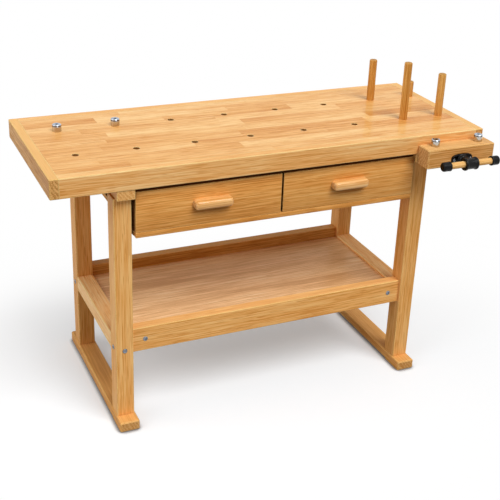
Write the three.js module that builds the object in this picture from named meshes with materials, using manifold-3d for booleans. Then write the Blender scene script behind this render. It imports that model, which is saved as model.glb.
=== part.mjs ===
// A hardwood woodworking bench: a framed top with dog holes on two trestle frames, a tray shelf,
// a case with two drawers, a front vise with a wooden jaw, and loose pegs and steel dogs.
// Units are millimetres and +Z is up. Each piece is drawn in the bench's own coordinates:
// X runs along the top from its middle, Y runs back from the top's front edge, Z rises from the floor.
import * as THREE from "three";
import { mergeVertices } from "three/addons/utils/BufferGeometryUtils.js";
import Module from "manifold-3d";

// Driving dimensions of the top
const topLength = 1370;
const topDepth = 520;
const workingHeight = 830;
const apronHeight = 58;
const apronThickness = 30;
const endCapThickness = 26;
const boardThickness = 28;
const edgeEase = 1.5;
const screwNotchGap = 1;

// Dog holes: two rows of evenly pitched holes, and one more hole at the vise end of each row
const dogHoleDiameter = 20;
const pitchedHoles = 7;
const firstHoleFromLeft = 112;
const endHolePitch = 132;
const lastHoleFromRight = 64;
const backEndHoleShift = 20;
const frontRowFromFront = 160;
const backRowFromFront = 370;

// Trestle frames
const legWidth = 52;
const legDepth = 56;
const legEndSetback = 177;
const legFrontSetback = 22;
const legBackSetback = 4;
const bearerHeight = 30;
const bearerInset = 6;
const bearerFrontSetback = 3;
const footHeight = 32;
const footLip = 4;
const footReach = 42;
const footPadLength = 80;
const footRelief = 6;
const tenonWidth = 20;
const tenonDepth = 34;
const tenonLength = 18;

// Tray shelf
const shelfRailHeight = 78;
const shelfRailThickness = 34;
const shelfRailRecess = 10;
const shelfRailBottom = 240;
const sideRailHeight = 48;
const sideRailDrop = 27;
const shelfPanelThickness = 12;
const shelfPanelDrop = 37;
const cleatSize = 18;

// Drawer case and drawers
const caseBottomThickness = 16;
const caseHeight = 151;
const caseWall = 14;
const caseFrontSetback = 10;
const caseDepth = 440;
const drawerFrontThickness = 18;
const drawerTopGap = 11.5;
const drawerFrontGap = 6;
const drawerFrontInset = 2;
const drawerSideThickness = 12;
const drawerSideHeight = 96;
const drawerBackRoom = 18;
const drawerBottomThickness = 6;
const drawerBottomRise = 8;
const grooveDepth = 6;
const pullLength = 118;
const pullHeight = 28;
const pullDepth = 26;
const pullCrown = 12;
const pullEndRadius = 10;
const pullRise = 12;
const pullFromMiddle = 221;

// Vise
const viseBearerGap = 2;
const jawLength = 240;
const jawDepth = 60;
const jawBelowScrew = 23;
const jawTopDrop = 27;
const jawDogSpacing = 156;
const jawDogFromBack = 27;
const screwDrop = 7;
const screwDiameter = 19;
const jawTravel = 120;
const guideRodDiameter = 12;
const guideRodSpacing = 108;
const guideRodSocket = 40;
const flangeWidth = 74;
const flangeHeight = 33;
const flangeThickness = 6;
const flangeBossDiameter = 30;
const flangeBossLength = 11;
const flangeBossFlare = 2;
const hubReach = 46;
const hubDiameter = 34;
const hubLength = 44;
const hubBead = 3;
const hubBeadWidth = 8;
const hubBeadSlope = 2;
const hubNeckDiameter = 27;
const screwSeatDepth = 4;
const backPlateThickness = 8;
const backPlateOverhang = 24;
const backPlateTopGap = 2;
const rodBossDiameter = 24;
const rodBossLength = 52;
const nutDiameter = 30;
const nutLength = 34;
const nutFlangeDiameter = 44;
const nutFlangeThickness = 8;
const tiePlateThickness = 6;
const tiePlateHeight = 26;
const collarDiameter = 25;
const collarLength = 11;
const handleLength = 204;
const handleBarDiameter = 20;
const handleCapDiameter = 30;
const handleCapLength = 28;
const handleCapWall = 6;
const handleCapRound = 3;
const handleRestShift = 2;

// Pegs and steel dogs
const pegDiameter = 25;
const pegChamfer = 2;
const longPegLength = 184;
const middlePegLength = 138;
const shortPegLength = 52;
const shankGap = 0.4;
const shankLength = 40;
const shankEase = 1;
const dogHeadDiameter = 27;
const dogHeadHeight = 22;
const dogChamfer = 2.5;
const dogDimpleDiameter = 8;
const dogDimpleDepth = 3;

// Clearances
const fitGap = 0.3;
const runningGap = 1.5;
const jawGap = 0.5;
const ironEase = 1;
const overlap = 1;
const roundSides = 24;

// Sizes that follow from the ones above
const topUnderside = workingHeight - apronHeight;
const boardUnderside = workingHeight - boardThickness;
const topRight = topLength / 2;
const pitchedLength = topLength - firstHoleFromLeft - endHolePitch - lastHoleFromRight;
const dogHolePitch = pitchedLength / (pitchedHoles - 1);
const shankDiameter = dogHoleDiameter - 2 * shankGap;
const legOuterFace = topRight - legEndSetback;
const legInnerFace = legOuterFace - legWidth;
const backLegBack = topDepth - legBackSetback;
const bearerUnderside = topUnderside - bearerHeight;
const bearerOuterFace = legOuterFace - bearerInset;
const bearerInnerFace = bearerOuterFace - legWidth;
const shelfRailTop = shelfRailBottom + shelfRailHeight;
const shelfPanelTop = shelfRailTop - shelfPanelDrop;
const shelfPanelUnderside = shelfPanelTop - shelfPanelThickness;
const shelfFrontInside = legFrontSetback + shelfRailRecess + shelfRailThickness;
const shelfBackInside = backLegBack - shelfRailRecess - shelfRailThickness;
const caseUnderside = topUnderside - caseHeight;
const caseFloor = caseUnderside + caseBottomThickness;
const caseBack = caseFrontSetback + caseDepth;
const drawerDepth = caseDepth - drawerFrontThickness - drawerBackRoom - caseWall;
const viseCentre = bearerOuterFace + viseBearerGap + (rodBossDiameter + guideRodSpacing) / 2;
const screwHeight = topUnderside - screwDrop;
const jawFront = -jawGap - jawDepth;
const jawTop = workingHeight - jawTopDrop;
const jawHeight = jawTop - screwHeight + jawBelowScrew;
const hubPlane = jawFront - hubReach;
const hubFront = hubPlane - hubDiameter / 2 - hubBead;
const rodBossEnd = apronThickness + backPlateThickness + rodBossLength;
const tiePlateFront = rodBossEnd + jawTravel + tiePlateThickness;
const footBack = backLegBack + footReach;
const jawRight = viseCentre + jawLength / 2;

// The part's origin is on the floor, under the middle of the whole object's box
const originX = (jawRight - topRight) / 2;
const originY = (hubFront + footBack) / 2;

const wasm = await Module();
wasm.setup();

// A closed three.js geometry as a solid that can be joined and cut
function toSolid(geometry) {
  const bare = new THREE.BufferGeometry();
  bare.setAttribute("position", geometry.getAttribute("position").clone());
  if (geometry.index) bare.setIndex(geometry.index.clone());
  const merged = mergeVertices(bare, 1e-4);
  return new wasm.Manifold(
    new wasm.Mesh({
      numProp: 3,
      vertProperties: new Float32Array(merged.attributes.position.array),
      triVerts: new Uint32Array(merged.index.array),
    }),
  );
}

// A solid back as a three.js geometry with flat-shaded faces
function toGeometry(solid) {
  const mesh = solid.getMesh();
  const geometry = new THREE.BufferGeometry();
  geometry.setAttribute("position", new THREE.BufferAttribute(mesh.vertProperties, 3));
  geometry.setIndex(new THREE.BufferAttribute(mesh.triVerts, 1));
  const flat = geometry.toNonIndexed();
  flat.computeVertexNormals();
  return flat;
}

function cut(geometry, ...tools) {
  const solid = tools.reduce((rest, tool) => rest.subtract(toSolid(tool)), toSolid(geometry));
  return toGeometry(solid);
}

function join(geometry, ...others) {
  const solid = others.reduce((sum, other) => sum.add(toSolid(other)), toSolid(geometry));
  return toGeometry(solid);
}

// A sharp block between two opposite corners
function block([x0, x1], [y0, y1], [z0, z1]) {
  const geometry = new THREE.BoxGeometry(x1 - x0, y1 - y0, z1 - z0);
  return geometry.translate((x0 + x1) / 2, (y0 + y1) / 2, (z0 + z1) / 2);
}

// A planed board: a block whose edges are all eased by a small chamfer
function board([x0, x1], [y0, y1], [z0, z1], ease = edgeEase) {
  const halfX = (x1 - x0) / 2;
  const halfY = (y1 - y0) / 2;
  const outline = new THREE.Shape();
  outline.moveTo(-halfX + ease, -halfY);
  outline.lineTo(halfX - ease, -halfY);
  outline.lineTo(halfX, -halfY + ease);
  outline.lineTo(halfX, halfY - ease);
  outline.lineTo(halfX - ease, halfY);
  outline.lineTo(-halfX + ease, halfY);
  outline.lineTo(-halfX, halfY - ease);
  outline.lineTo(-halfX, -halfY + ease);
  outline.closePath();
  const geometry = new THREE.ExtrudeGeometry(outline, {
    depth: z1 - z0 - 2 * ease,
    bevelEnabled: true,
    bevelThickness: ease,
    bevelSize: ease,
    bevelOffset: -ease,
    bevelSegments: 1,
    steps: 1,
  });
  return geometry.translate((x0 + x1) / 2, (y0 + y1) / 2, z0 + ease);
}

// A solid of revolution about Z from (radius, height) pairs that start and end on the axis
function turned(profile) {
  const points = profile.map(([radius, height]) => new THREE.Vector2(radius, height));
  return new THREE.LatheGeometry(points, roundSides).rotateX(Math.PI / 2);
}

// A board cut back to a block, so that the edges it shares with a neighbour stay sharp
function flush(geometry, x, y, z) {
  return toGeometry(toSolid(geometry).intersect(toSolid(block(x, y, z))));
}

// Round bars along each axis, between two ends
function barZ(radius, x, y, [z0, z1]) {
  return turned([[0, z0], [radius, z0], [radius, z1], [0, z1]]).translate(x, y, 0);
}

function barY(radius, x, z, [y0, y1]) {
  const bar = turned([[0, y0], [radius, y0], [radius, y1], [0, y1]]);
  return bar.rotateX(-Math.PI / 2).translate(x, 0, z);
}

function barX(radius, y, z, [x0, x1]) {
  const bar = turned([[0, x0], [radius, x0], [radius, x1], [0, x1]]);
  return bar.rotateY(Math.PI / 2).translate(0, y, z);
}

// A range mirrored to the other end of the bench when side is -1
function mirrored(side, near, far) {
  return side > 0 ? [near, far] : [-far, -near];
}

// Finishes
function finish(color, roughness, metalness = 0) {
  return new THREE.MeshStandardMaterial({ color, roughness, metalness });
}
const topWood = finish(0xdda560, 0.45);
const frameWood = finish(0xcf9550, 0.5);
const drawerWood = finish(0xc28747, 0.5);
const shelfWood = finish(0xb77f45, 0.55);
const paleWood = finish(0xe0b070, 0.5);
const blackIron = finish(0x17181a, 0.45, 0.3);
const plainSteel = finish(0xb4b6b8, 0.35, 1);
const chrome = finish(0xd6d8da, 0.12, 1);

const bench = new THREE.Group();
bench.position.set(-originX, -originY, 0);

function add(name, geometry, material) {
  const mesh = new THREE.Mesh(geometry, material);
  mesh.name = name;
  bench.add(mesh);
}

// Top: a glued board inside two aprons and two end caps
const holeColumns = [];
for (let i = 0; i < pitchedHoles; i += 1) {
  holeColumns.push(-topRight + firstHoleFromLeft + i * dogHolePitch);
}
const endColumn = topRight - lastHoleFromRight;
const frontRow = { y: frontRowFromFront, end: endColumn };
const backRow = { y: backRowFromFront, end: endColumn + backEndHoleShift };

function makeTop() {
  const between = [-topRight + endCapThickness, topRight - endCapThickness];
  const inside = [apronThickness, topDepth - apronThickness];
  const drillSpan = [boardUnderside - overlap, workingHeight + overlap];
  const drills = [frontRow, backRow].flatMap(({ y, end }) =>
    [...holeColumns, end].map((x) => barZ(dogHoleDiameter / 2, x, y, drillSpan)),
  );
  const blank = block(between, inside, [boardUnderside, workingHeight]);
  add("top_board", cut(blank, ...drills), topWood);

  // The frame is planed flush with the board after gluing, so only its outer edges are eased
  const frameZ = [topUnderside, workingHeight];
  const long = [between[0] - edgeEase, between[1] + edgeEase];
  const frontY = [0, apronThickness];
  const backY = [topDepth - apronThickness, topDepth];
  const apron = flush(board(long, [0, apronThickness + edgeEase], frameZ), between, frontY, frameZ);

  // The vise screw passes under the front apron in a shallow round notch
  const notch = barY(screwDiameter / 2 + screwNotchGap, viseCentre, screwHeight, [
    -overlap,
    apronThickness + overlap,
  ]);
  add("front_apron", cut(apron, notch), topWood);
  const backBlank = board(long, [backY[0] - edgeEase, topDepth], frameZ);
  add("back_apron", flush(backBlank, between, backY, frameZ), topWood);
  const capNear = topRight - endCapThickness;
  for (const [name, side] of [["left_end_cap", -1], ["right_end_cap", 1]]) {
    const cap = board(mirrored(side, capNear - edgeEase, topRight), [0, topDepth], frameZ);
    add(name, flush(cap, mirrored(side, capNear, topRight), [0, topDepth], frameZ), topWood);
  }
}

// Trestle frames: foot rail, two legs tenoned into foot and bearer, and a shelf rail between the legs
function makeFrame(side, word) {
  const legX = mirrored(side, legInnerFace, legOuterFace);
  const footX = mirrored(side, legInnerFace - footLip, legOuterFace + footLip);
  const bearerX = mirrored(side, bearerInnerFace, bearerOuterFace);
  const sharedX = (Math.max(legX[0], bearerX[0]) + Math.min(legX[1], bearerX[1])) / 2;
  const legs = [
    ["front", legFrontSetback, legFrontSetback + legDepth],
    ["back", backLegBack - legDepth, backLegBack],
  ];
  const tenon = (middleY, z, extra) =>
    block(
      [sharedX - tenonWidth / 2 - extra, sharedX + tenonWidth / 2 + extra],
      [middleY - tenonDepth / 2 - extra, middleY + tenonDepth / 2 + extra],
      z,
    );
  const lowTenon = [footHeight - tenonLength, footHeight + overlap];
  const highTenon = [bearerUnderside - overlap, bearerUnderside + tenonLength];
  const lowMortise = [footHeight - tenonLength - fitGap, footHeight + overlap];
  const highMortise = [bearerUnderside - overlap, bearerUnderside + tenonLength + fitGap];

  for (const [where, y0, y1] of legs) {
    const middleY = (y0 + y1) / 2;
    const post = board(legX, [y0, y1], [footHeight, bearerUnderside]);
    const leg = join(post, tenon(middleY, lowTenon, 0), tenon(middleY, highTenon, 0));
    add(`${where}_${word}_leg`, leg, frameWood);
  }
  const middles = legs.map(([, y0, y1]) => (y0 + y1) / 2);

  const footY = [legFrontSetback - footReach, footBack];
  const foot = board(footX, footY, [0, footHeight], edgeEase * 2);
  const relief = block(
    [footX[0] - overlap, footX[1] + overlap],
    [footY[0] + footPadLength, footY[1] - footPadLength],
    [-overlap, footRelief],
  );
  const footMortises = middles.map((y) => tenon(y, lowMortise, fitGap));
  add(`${word}_foot_rail`, cut(foot, relief, ...footMortises), frameWood);

  const bearer = board(bearerX, [bearerFrontSetback, backLegBack], [bearerUnderside, topUnderside]);
  const bearerMortises = middles.map((y) => tenon(y, highMortise, fitGap));
  add(`${word}_top_bearer`, cut(bearer, ...bearerMortises), frameWood);

  const railTop = shelfRailTop - sideRailDrop;
  const railY = [legFrontSetback + legDepth, backLegBack - legDepth];
  add(`${word}_shelf_rail`, board(legX, railY, [railTop - sideRailHeight, railTop]), frameWood);
}

// Tray shelf: a panel on cleats between a front and a back rail
function makeShelf() {
  const betweenLegs = [-legInnerFace, legInnerFace];
  const railZ = [shelfRailBottom, shelfRailTop];
  const frontY = [shelfFrontInside - shelfRailThickness, shelfFrontInside];
  const backY = [shelfBackInside, shelfBackInside + shelfRailThickness];
  add("front_shelf_rail", board(betweenLegs, frontY, railZ), frameWood);
  add("back_shelf_rail", board(betweenLegs, backY, railZ), frameWood);
  const panelY = [shelfFrontInside, shelfBackInside];
  add("shelf_panel", block(betweenLegs, panelY, [shelfPanelUnderside, shelfPanelTop]), shelfWood);
  const cleatZ = [shelfPanelUnderside - cleatSize, shelfPanelUnderside];
  const frontCleatY = [shelfFrontInside, shelfFrontInside + cleatSize];
  const backCleatY = [shelfBackInside - cleatSize, shelfBackInside];
  add("front_shelf_cleat", board(betweenLegs, frontCleatY, cleatZ), frameWood);
  add("back_shelf_cleat", board(betweenLegs, backCleatY, cleatZ), frameWood);
}

// Drawer case: a box open at the front, screwed between the two bearers and covered by the drawer fronts
const frontBack = caseFrontSetback + drawerFrontThickness;
const caseWallFront = frontBack + runningGap;

function makeCase() {
  const outer = [-bearerInnerFace, bearerInnerFace];
  const wallZ = [caseFloor, topUnderside];
  const wallY = [caseWallFront, caseBack - caseWall];
  const floorY = [caseWallFront, caseBack];
  add("case_bottom", board(outer, floorY, [caseUnderside, caseFloor]), drawerWood);
  for (const [name, side] of [["case_left_side", -1], ["case_right_side", 1]]) {
    const wallX = mirrored(side, bearerInnerFace - caseWall, bearerInnerFace);
    add(name, block(wallX, wallY, wallZ), drawerWood);
  }
  add("case_divider", block([-caseWall / 2, caseWall / 2], wallY, wallZ), drawerWood);
  add("case_back", block(outer, [caseBack - caseWall, caseBack], wallZ), drawerWood);
}

// A bar pull: flat above and below, round in front, cut to rounded ends
function pullShape(centreX, centreZ) {
  const halfHeight = pullHeight / 2;
  // A bezier side reaches three quarters of the way out to its control points
  const pullNose = pullCrown + (pullDepth - pullCrown) * (4 / 3);
  const section = new THREE.Shape();
  section.moveTo(0, -halfHeight);
  section.lineTo(pullCrown, -halfHeight);
  section.bezierCurveTo(pullNose, -halfHeight, pullNose, halfHeight, pullCrown, halfHeight);
  section.lineTo(0, halfHeight);
  section.closePath();
  const bar = new THREE.ExtrudeGeometry(section, {
    depth: pullLength,
    bevelEnabled: false,
    curveSegments: 8,
  });
  // The section's X stands out to the front, its Y goes up, and the bar runs along the drawer
  const standing = new THREE.Matrix4().makeBasis(
    new THREE.Vector3(0, -1, 0),
    new THREE.Vector3(0, 0, 1),
    new THREE.Vector3(-1, 0, 0),
  );
  bar.applyMatrix4(standing).translate(pullLength / 2, 0, 0);
  const ends = new THREE.Shape();
  const right = pullLength / 2 - pullEndRadius;
  const high = halfHeight - pullEndRadius;
  const quarter = Math.PI / 2;
  ends.absarc(right, -high, pullEndRadius, -quarter, 0, false);
  ends.absarc(right, high, pullEndRadius, 0, quarter, false);
  ends.absarc(-right, high, pullEndRadius, quarter, Math.PI, false);
  ends.absarc(-right, -high, pullEndRadius, Math.PI, Math.PI + quarter, false);
  ends.closePath();
  const envelope = new THREE.ExtrudeGeometry(ends, {
    depth: pullDepth + 2 * overlap,
    bevelEnabled: false,
    curveSegments: 4,
  });
  envelope.rotateX(Math.PI / 2).translate(0, overlap, 0);
  const solid = toSolid(bar).intersect(toSolid(envelope));
  return toGeometry(solid).translate(centreX, caseFrontSetback, centreZ);
}

// A drawer: an overlay front, two sides, a back, a bottom held in grooves, and a bar pull
function makeDrawer(side, word) {
  const outerEdge = bearerInnerFace - drawerFrontInset;
  const frontX = mirrored(side, drawerFrontGap / 2, outerEdge);
  const frontZ = [caseUnderside, topUnderside - drawerTopGap];
  const boxX = mirrored(side, caseWall / 2 + runningGap, bearerInnerFace - caseWall - runningGap);
  const boxZ = [caseFloor + fitGap, caseFloor + fitGap + drawerSideHeight];
  const boxY = [frontBack, frontBack + drawerDepth];
  const inX = [boxX[0] + drawerSideThickness, boxX[1] - drawerSideThickness];
  const backY = [boxY[1] - drawerSideThickness, boxY[1]];
  const bottomZ = [boxZ[0] + drawerBottomRise, boxZ[0] + drawerBottomRise + drawerBottomThickness];
  const sink = grooveDepth - fitGap;
  const bottom = block(
    [inX[0] - sink, inX[1] + sink],
    [boxY[0] - sink, backY[0] + sink],
    bottomZ,
  );
  const groove = block(
    [inX[0] - grooveDepth, inX[1] + grooveDepth],
    [boxY[0] - grooveDepth, backY[0] + grooveDepth],
    [bottomZ[0] - fitGap, bottomZ[1] + fitGap],
  );
  const front = board(frontX, [caseFrontSetback, frontBack], frontZ);
  add(`${word}_drawer_front`, cut(front, groove), drawerWood);
  const leftSide = block([boxX[0], inX[0]], boxY, boxZ);
  const rightSide = block([inX[1], boxX[1]], boxY, boxZ);
  add(`${word}_drawer_left_side`, cut(leftSide, groove), paleWood);
  add(`${word}_drawer_right_side`, cut(rightSide, groove), paleWood);
  add(`${word}_drawer_back`, cut(block(inX, backY, boxZ), groove), paleWood);
  add(`${word}_drawer_bottom`, bottom, paleWood);
  const centreZ = (frontZ[0] + frontZ[1]) / 2 + pullRise;
  add(`${word}_drawer_pull`, pullShape(side * pullFromMiddle, centreZ), drawerWood);
}

// Vise: a wooden jaw on two guide rods, drawn by a screw that turns in a nut behind the front apron
const rodColumns = [viseCentre - guideRodSpacing / 2, viseCentre + guideRodSpacing / 2];
const jawDogColumns = [viseCentre - jawDogSpacing / 2, viseCentre + jawDogSpacing / 2];
const jawDogLine = -jawGap - jawDogFromBack;
const screwBore = screwDiameter / 2 + fitGap;
const rodBore = guideRodDiameter / 2 + fitGap;

function makeJaw() {
  const jawX = [viseCentre - jawLength / 2, jawRight];
  const blank = board(jawX, [jawFront, -jawGap], [jawTop - jawHeight, jawTop], edgeEase * 2);
  const screwHole = barY(screwBore, viseCentre, screwHeight, [jawFront - overlap, 0]);
  const collarSeat = barY(collarDiameter / 2 + runningGap / 2, viseCentre, screwHeight, [
    -jawGap - collarLength - 2 * fitGap,
    0,
  ]);
  const sockets = rodColumns.map((x) =>
    barY(rodBore, x, screwHeight, [-jawGap - guideRodSocket - fitGap, 0]),
  );
  const dogHoles = jawDogColumns.map((x) =>
    barZ(dogHoleDiameter / 2, x, jawDogLine, [jawTop - jawHeight - overlap, jawTop + overlap]),
  );
  add("vise_jaw", cut(blank, screwHole, collarSeat, ...sockets, ...dogHoles), topWood);

  // An oval cast flange with a round boss, screwed to the front of the jaw
  const oval = new THREE.Shape();
  oval.absellipse(0, 0, flangeWidth / 2, flangeHeight / 2, 0, Math.PI * 2, false);
  const plate = new THREE.ExtrudeGeometry(oval, {
    depth: flangeThickness - 2 * ironEase,
    bevelEnabled: true,
    bevelThickness: ironEase,
    bevelSize: ironEase,
    bevelOffset: -ironEase,
    bevelSegments: 1,
    curveSegments: roundSides,
  });
  plate.rotateX(Math.PI / 2).translate(viseCentre, jawFront - ironEase, screwHeight);
  const bossRadius = flangeBossDiameter / 2;
  const boss = turned([
    [0, 0],
    [bossRadius + flangeBossFlare, 0],
    [bossRadius, flangeBossLength / 2],
    [bossRadius - ironEase, flangeBossLength - flangeBossFlare],
    [bossRadius - flangeBossFlare - ironEase, flangeBossLength],
    [0, flangeBossLength],
  ]);
  boss.rotateX(Math.PI / 2).translate(viseCentre, jawFront - flangeThickness + overlap, screwHeight);
  const flangeBore = barY(screwBore, viseCentre, screwHeight, [hubPlane, jawFront + overlap]);
  add("vise_flange", cut(join(plate, boss), flangeBore), blackIron);

  const rodY = [-jawGap - guideRodSocket, tiePlateFront + tiePlateThickness];
  const names = ["left_guide_rod", "right_guide_rod"];
  names.forEach((name, i) => {
    add(name, barY(guideRodDiameter / 2, rodColumns[i], screwHeight, rodY), plainSteel);
  });

  // A plate ties the far ends of the rods together and steadies the end of the screw
  const tieHalf = guideRodSpacing / 2 + guideRodDiameter;
  const tie = board(
    [viseCentre - tieHalf, viseCentre + tieHalf],
    [tiePlateFront, tiePlateFront + tiePlateThickness],
    [screwHeight - tiePlateHeight / 2, screwHeight + tiePlateHeight / 2],
    ironEase,
  );
  const tieSpan = [tiePlateFront - overlap, tiePlateFront + tiePlateThickness + overlap];
  const tieHoles = rodColumns.map((x) => barY(rodBore, x, screwHeight, tieSpan));
  const tailHole = barY(screwBore, viseCentre, screwHeight, tieSpan);
  add("guide_rod_tie", cut(tie, ...tieHoles, tailHole), blackIron);
}

// The fixed half of the vise: a cast plate with two guide bosses, and a flanged nut in its middle
function makeViseSeat() {
  const plateHalf = (guideRodSpacing + rodBossDiameter) / 2;
  const plateY = [apronThickness, apronThickness + backPlateThickness];
  const plate = board(
    [viseCentre - plateHalf, viseCentre + plateHalf],
    plateY,
    [topUnderside - backPlateOverhang, boardUnderside - backPlateTopGap],
    ironEase,
  );
  const bosses = rodColumns.map((x) =>
    barY(rodBossDiameter / 2, x, screwHeight, [plateY[0] + overlap, rodBossEnd]),
  );
  const rodHoles = rodColumns.map((x) =>
    barY(rodBore, x, screwHeight, [plateY[0] - overlap, rodBossEnd + overlap]),
  );
  const nutSeat = barY(nutDiameter / 2 + fitGap, viseCentre, screwHeight, [
    plateY[0] - overlap,
    plateY[1] + overlap,
  ]);
  add("vise_back_plate", cut(join(plate, ...bosses), ...rodHoles, nutSeat), blackIron);

  const nutBody = barY(nutDiameter / 2, viseCentre, screwHeight, [
    plateY[0] + fitGap,
    plateY[0] + nutLength,
  ]);
  const nutFlange = barY(nutFlangeDiameter / 2, viseCentre, screwHeight, [
    plateY[1] + fitGap,
    plateY[1] + fitGap + nutFlangeThickness,
  ]);
  const thread = barY(screwBore, viseCentre, screwHeight, [0, plateY[0] + nutLength + overlap]);
  add("vise_nut", cut(join(nutBody, nutFlange), thread), plainSteel);
}

// The turning half: the screw, its retaining collar and the cross hub that holds the handle
function makeScrew() {
  const head = hubPlane + hubDiameter / 2 - screwSeatDepth;
  const tail = tiePlateFront + tiePlateThickness;
  add("vise_screw", barY(screwDiameter / 2, viseCentre, screwHeight, [head, tail]), plainSteel);
  const collarY = [-jawGap - collarLength - fitGap, -jawGap - fitGap];
  const ring = barY(collarDiameter / 2, viseCentre, screwHeight, collarY);
  const ringBore = barY(screwBore, viseCentre, screwHeight, [collarY[0] - overlap, collarY[1] + overlap]);
  add("screw_collar", cut(ring, ringBore), plainSteel);

  const radius = hubDiameter / 2;
  const bead = radius + hubBead;
  const half = hubLength / 2;
  const sleeve = turned([
    [0, -half],
    [bead - ironEase, -half],
    [bead, -half + ironEase],
    [bead, -half + hubBeadWidth - hubBeadSlope],
    [radius, -half + hubBeadWidth],
    [radius, half - hubBeadWidth],
    [bead, half - hubBeadWidth + hubBeadSlope],
    [bead, half - ironEase],
    [bead - ironEase, half],
    [0, half],
  ]);
  sleeve.rotateY(Math.PI / 2).translate(viseCentre, hubPlane, screwHeight);
  const neckEnd = jawFront - flangeThickness - flangeBossLength + overlap - fitGap;
  const neck = barY(hubNeckDiameter / 2, viseCentre, screwHeight, [hubPlane, neckEnd]);
  const handleBore = barX(handleBarDiameter / 2 + fitGap, hubPlane, screwHeight, [
    viseCentre - hubLength,
    viseCentre + hubLength,
  ]);
  const screwSocket = barY(screwBore, viseCentre, screwHeight, [head - fitGap, neckEnd + overlap]);
  add("screw_hub", cut(join(sleeve, neck), handleBore, screwSocket), blackIron);
}

// The sliding handle: a wooden bar with a cap on each end
function makeHandle() {
  const centre = viseCentre + handleRestShift;
  const half = handleLength / 2;
  const barEnd = half - handleCapWall;
  const bar = barX(handleBarDiameter / 2, hubPlane, screwHeight, [centre - barEnd, centre + barEnd]);
  add("handle_bar", bar, paleWood);
  const radius = handleCapDiameter / 2;
  const bore = handleBarDiameter / 2 + fitGap;
  const corner = handleCapRound * (1 - Math.SQRT1_2);
  const cap = turned([
    [0, handleCapLength],
    [radius - handleCapRound, handleCapLength],
    [radius - corner, handleCapLength - corner],
    [radius, handleCapLength - handleCapRound],
    [radius, ironEase],
    [radius - ironEase, 0],
    [bore, 0],
    [bore, handleCapLength - handleCapWall + fitGap],
    [0, handleCapLength - handleCapWall + fitGap],
  ].reverse());
  for (const [name, side] of [["handle_left_cap", -1], ["handle_right_cap", 1]]) {
    const placed = cap.clone().rotateY((side * Math.PI) / 2);
    placed.translate(centre + side * (half - handleCapLength), hubPlane, screwHeight);
    add(name, placed, blackIron);
  }
}

// Turned pegs and steel dogs stand on their shoulders with their shanks in the holes
function pegShape(length) {
  const radius = pegDiameter / 2;
  return turned([
    [0, -shankLength],
    [shankDiameter / 2 - shankEase, -shankLength],
    [shankDiameter / 2, -shankLength + shankEase],
    [shankDiameter / 2, 0],
    [radius, 0],
    [radius, length - pegChamfer],
    [radius - pegChamfer, length],
    [0, length],
  ]);
}

function dogShape() {
  const radius = dogHeadDiameter / 2;
  const dimple = dogDimpleDiameter / 2;
  return turned([
    [0, -shankLength],
    [shankDiameter / 2 - shankEase, -shankLength],
    [shankDiameter / 2, -shankLength + shankEase],
    [shankDiameter / 2, 0],
    [radius - shankEase, 0],
    [radius, shankEase],
    [radius, dogHeadHeight - dogChamfer],
    [radius - dogChamfer, dogHeadHeight],
    [dimple, dogHeadHeight],
    [dimple, dogHeadHeight - dogDimpleDepth],
    [0, dogHeadHeight - dogDimpleDepth],
  ]);
}

function makeLoosePieces() {
  const lastPitched = holeColumns[pitchedHoles - 1];
  const pegs = [
    ["back_peg", lastPitched, backRow.y, middlePegLength],
    ["front_peg", lastPitched, frontRow.y, longPegLength],
    ["end_front_peg", frontRow.end, frontRow.y, middlePegLength],
    ["end_back_peg", backRow.end, backRow.y, shortPegLength],
  ];
  for (const [name, x, y, length] of pegs) {
    add(name, pegShape(length).translate(x, y, workingHeight), paleWood);
  }
  const topDogs = [["left_bench_dog", 0], ["second_bench_dog", 1]];
  for (const [name, column] of topDogs) {
    add(name, dogShape().translate(holeColumns[column], backRow.y, workingHeight), chrome);
  }
  ["jaw_left_dog", "jaw_right_dog"].forEach((name, i) => {
    add(name, dogShape().translate(jawDogColumns[i], jawDogLine, jawTop), chrome);
  });
}

makeTop();
makeFrame(-1, "left");
makeFrame(1, "right");
makeShelf();
makeCase();
makeDrawer(-1, "left");
makeDrawer(1, "right");
makeViseSeat();
makeJaw();
makeScrew();
makeHandle();
makeLoosePieces();

const part = new THREE.Group();
part.add(bench);

export default part;
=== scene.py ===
# %% [markdown]
# # Dressing a woodworking bench
# The bench is lacquered hardwood: a framed top with dog holes, two trestle frames, a tray shelf, a case
# with two drawers, and a front vise with a wooden jaw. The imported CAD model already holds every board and
# joint at its true size. This lesson adds what CAD leaves out: grain, metal, smooth turnings, bolts, a
# screw thread, light and a camera.

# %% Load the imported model
import math

import bmesh
import bpy
from mathutils import Matrix, Vector


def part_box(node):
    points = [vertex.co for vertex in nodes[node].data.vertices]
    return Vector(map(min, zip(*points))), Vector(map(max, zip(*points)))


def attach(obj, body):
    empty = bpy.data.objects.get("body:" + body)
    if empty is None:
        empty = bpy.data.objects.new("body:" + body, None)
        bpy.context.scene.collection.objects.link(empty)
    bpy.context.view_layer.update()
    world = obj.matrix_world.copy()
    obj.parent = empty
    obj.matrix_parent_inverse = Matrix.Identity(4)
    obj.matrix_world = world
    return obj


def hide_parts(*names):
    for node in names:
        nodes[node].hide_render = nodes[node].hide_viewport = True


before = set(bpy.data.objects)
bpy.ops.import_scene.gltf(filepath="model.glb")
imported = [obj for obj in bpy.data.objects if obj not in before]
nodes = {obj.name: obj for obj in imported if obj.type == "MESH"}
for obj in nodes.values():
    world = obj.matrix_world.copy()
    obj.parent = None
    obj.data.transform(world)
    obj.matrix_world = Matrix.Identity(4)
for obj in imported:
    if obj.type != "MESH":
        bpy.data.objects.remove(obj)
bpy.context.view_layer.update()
MM = 0.001

# %% [markdown]
# ## A short way to write a finish
# A finish is a graph of shader nodes. It could be drawn by hand in Blender's editor, or written with one
# long line for each node and each link. A small helper class keeps it readable: a socket is given either
# a plain value or another node's output, and the helper sets or links it.


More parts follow.
